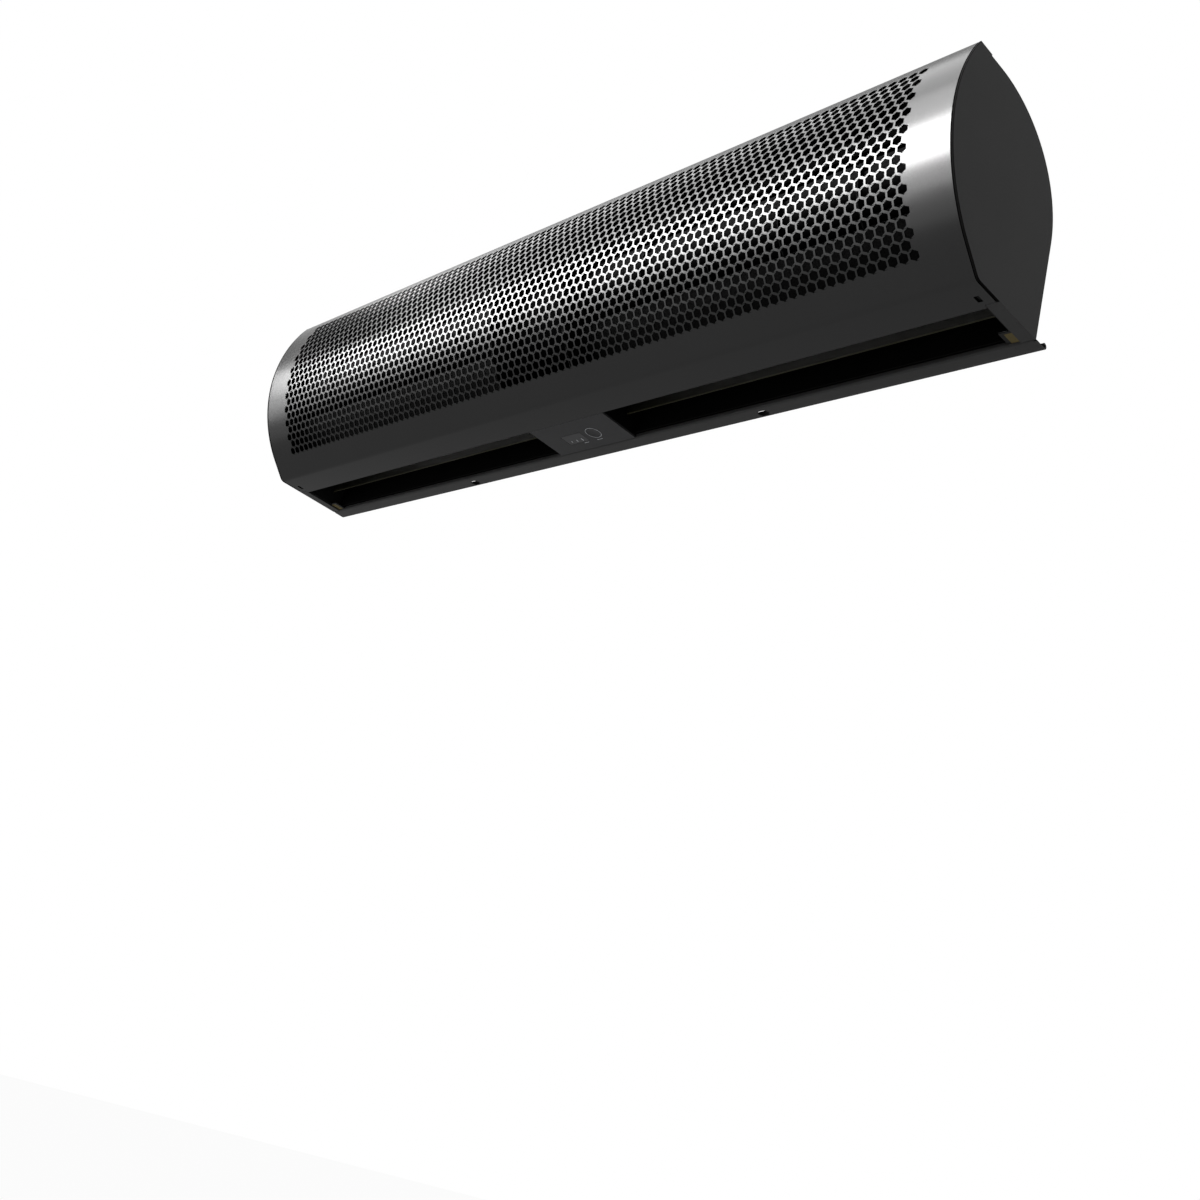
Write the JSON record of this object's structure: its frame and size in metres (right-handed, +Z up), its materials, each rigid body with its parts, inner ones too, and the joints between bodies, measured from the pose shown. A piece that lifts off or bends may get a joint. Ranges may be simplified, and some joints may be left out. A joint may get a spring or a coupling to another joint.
{
  "type": "air curtain",
  "caption": "Wall-mounted air curtain: long steel casing with a curved perforated front, a down-facing outlet slot with tilting vanes, and cross-flow impellers on a central motor.",
  "frame": {"origin": "on the wall plate's rear face, at the middle of its length, 70 mm above the casing's underside", "axes": "+X along the casing, to the right seen from the front; +Y into the wall; +Z up"},
  "size_m": [0.903, 0.148, 0.1788],
  "materials": {
    "graphite_paint": "fine matt powder coat",
    "pearl_black_paint": "satin metallic powder coat",
    "black_paint": "matt black coat",
    "yellow_zinc": "yellow passivated zinc plate",
    "zinc_steel": "clear zinc plate",
    "vane_olive": "dark anodised",
    "aluminium": "mill finish",
    "rubber": "moulded",
    "bearing_steel": "ground",
    "shaft_steel": "ground",
    "core_steel": "stacked laminations",
    "motor_enamel": "enamel",
    "black_plastic": "fine moulded texture",
    "smoked_plastic": "gloss",
    "circuit_board": "solder mask",
    "capacitor_case": "moulded",
    "terminal_plastic": "moulded"
  },
  "bodies": {
    "casing": {"wall_plate": "zinc_steel", "hanger_left": "zinc_steel", "hanger_right": "zinc_steel", "rear_shell": "graphite_paint", "front_cover": "pearl_black_paint", "end_cap_left": "graphite_paint", "end_cap_right": "graphite_paint", "side_plate_left": "yellow_zinc", "side_plate_right": "yellow_zinc", "partition_left": "black_paint", "partition_right": "black_paint", "volute_left": "black_paint", "volute_right": "black_paint", "tongue_left": "black_paint", "tongue_right": "black_paint", "bearing_left": "bearing_steel", "bearing_right": "bearing_steel", "bearing_seat_left": "rubber", "bearing_seat_right": "rubber", "stator_core": "core_steel", "motor_bell_left": "motor_enamel", "motor_bell_right": "motor_enamel", "motor_ring_left": "rubber", "motor_ring_right": "rubber", "motor_cradle": "zinc_steel", "motor_strap_left": "zinc_steel", "motor_strap_right": "zinc_steel", "control_panel": "black_plastic", "display_window": "smoked_plastic", "control_board": "circuit_board", "component_tray": "zinc_steel", "capacitor": "capacitor_case", "terminal_block": "terminal_plastic", "cable_grommet": "rubber", "motor_screw_1": "zinc_steel", "motor_screw_2": "zinc_steel", "motor_screw_3": "zinc_steel", "motor_screw_4": "zinc_steel", "hanger_screw_1": "zinc_steel", "hanger_screw_2": "zinc_steel", "hanger_screw_3": "zinc_steel", "hanger_screw_4": "zinc_steel", "side_screw_1": "zinc_steel", "side_screw_2": "zinc_steel", "side_screw_3": "zinc_steel", "side_screw_4": "zinc_steel"},
    "rotor": {"impeller_left": "aluminium", "impeller_right": "aluminium", "motor_shaft": "shaft_steel", "rotor_core": "core_steel"},
    "vane_left": {"guide_vane_left": "vane_olive"},
    "vane_right": {"guide_vane_right": "vane_olive"},
    "key": {"power_key": "black_plastic"}
  },
  "joints": [
    {"name": "rotor_spin", "type": "hinge", "parent": "casing", "child": "rotor", "pos_m": [0, -0.08, 0.028], "axis": [1, 0, 0], "continuous": true},
    {"name": "vane_left_tilt", "type": "hinge", "parent": "casing", "child": "vane_left", "pos_m": [-0.24, -0.035, -0.04], "axis": [1, 0, 0], "range_deg": [-25, 25]},
    {"name": "vane_right_tilt", "type": "hinge", "parent": "casing", "child": "vane_right", "pos_m": [0.24, -0.035, -0.04], "axis": [1, 0, 0], "range_deg": [-25, 25]},
    {"name": "power_key_press", "type": "slide", "parent": "casing", "child": "key", "axis": [0, 0, 1], "range_m": [0, 0.0012], "stiffness_N_per_m": 200, "springref_m": -0.002}
  ]
}
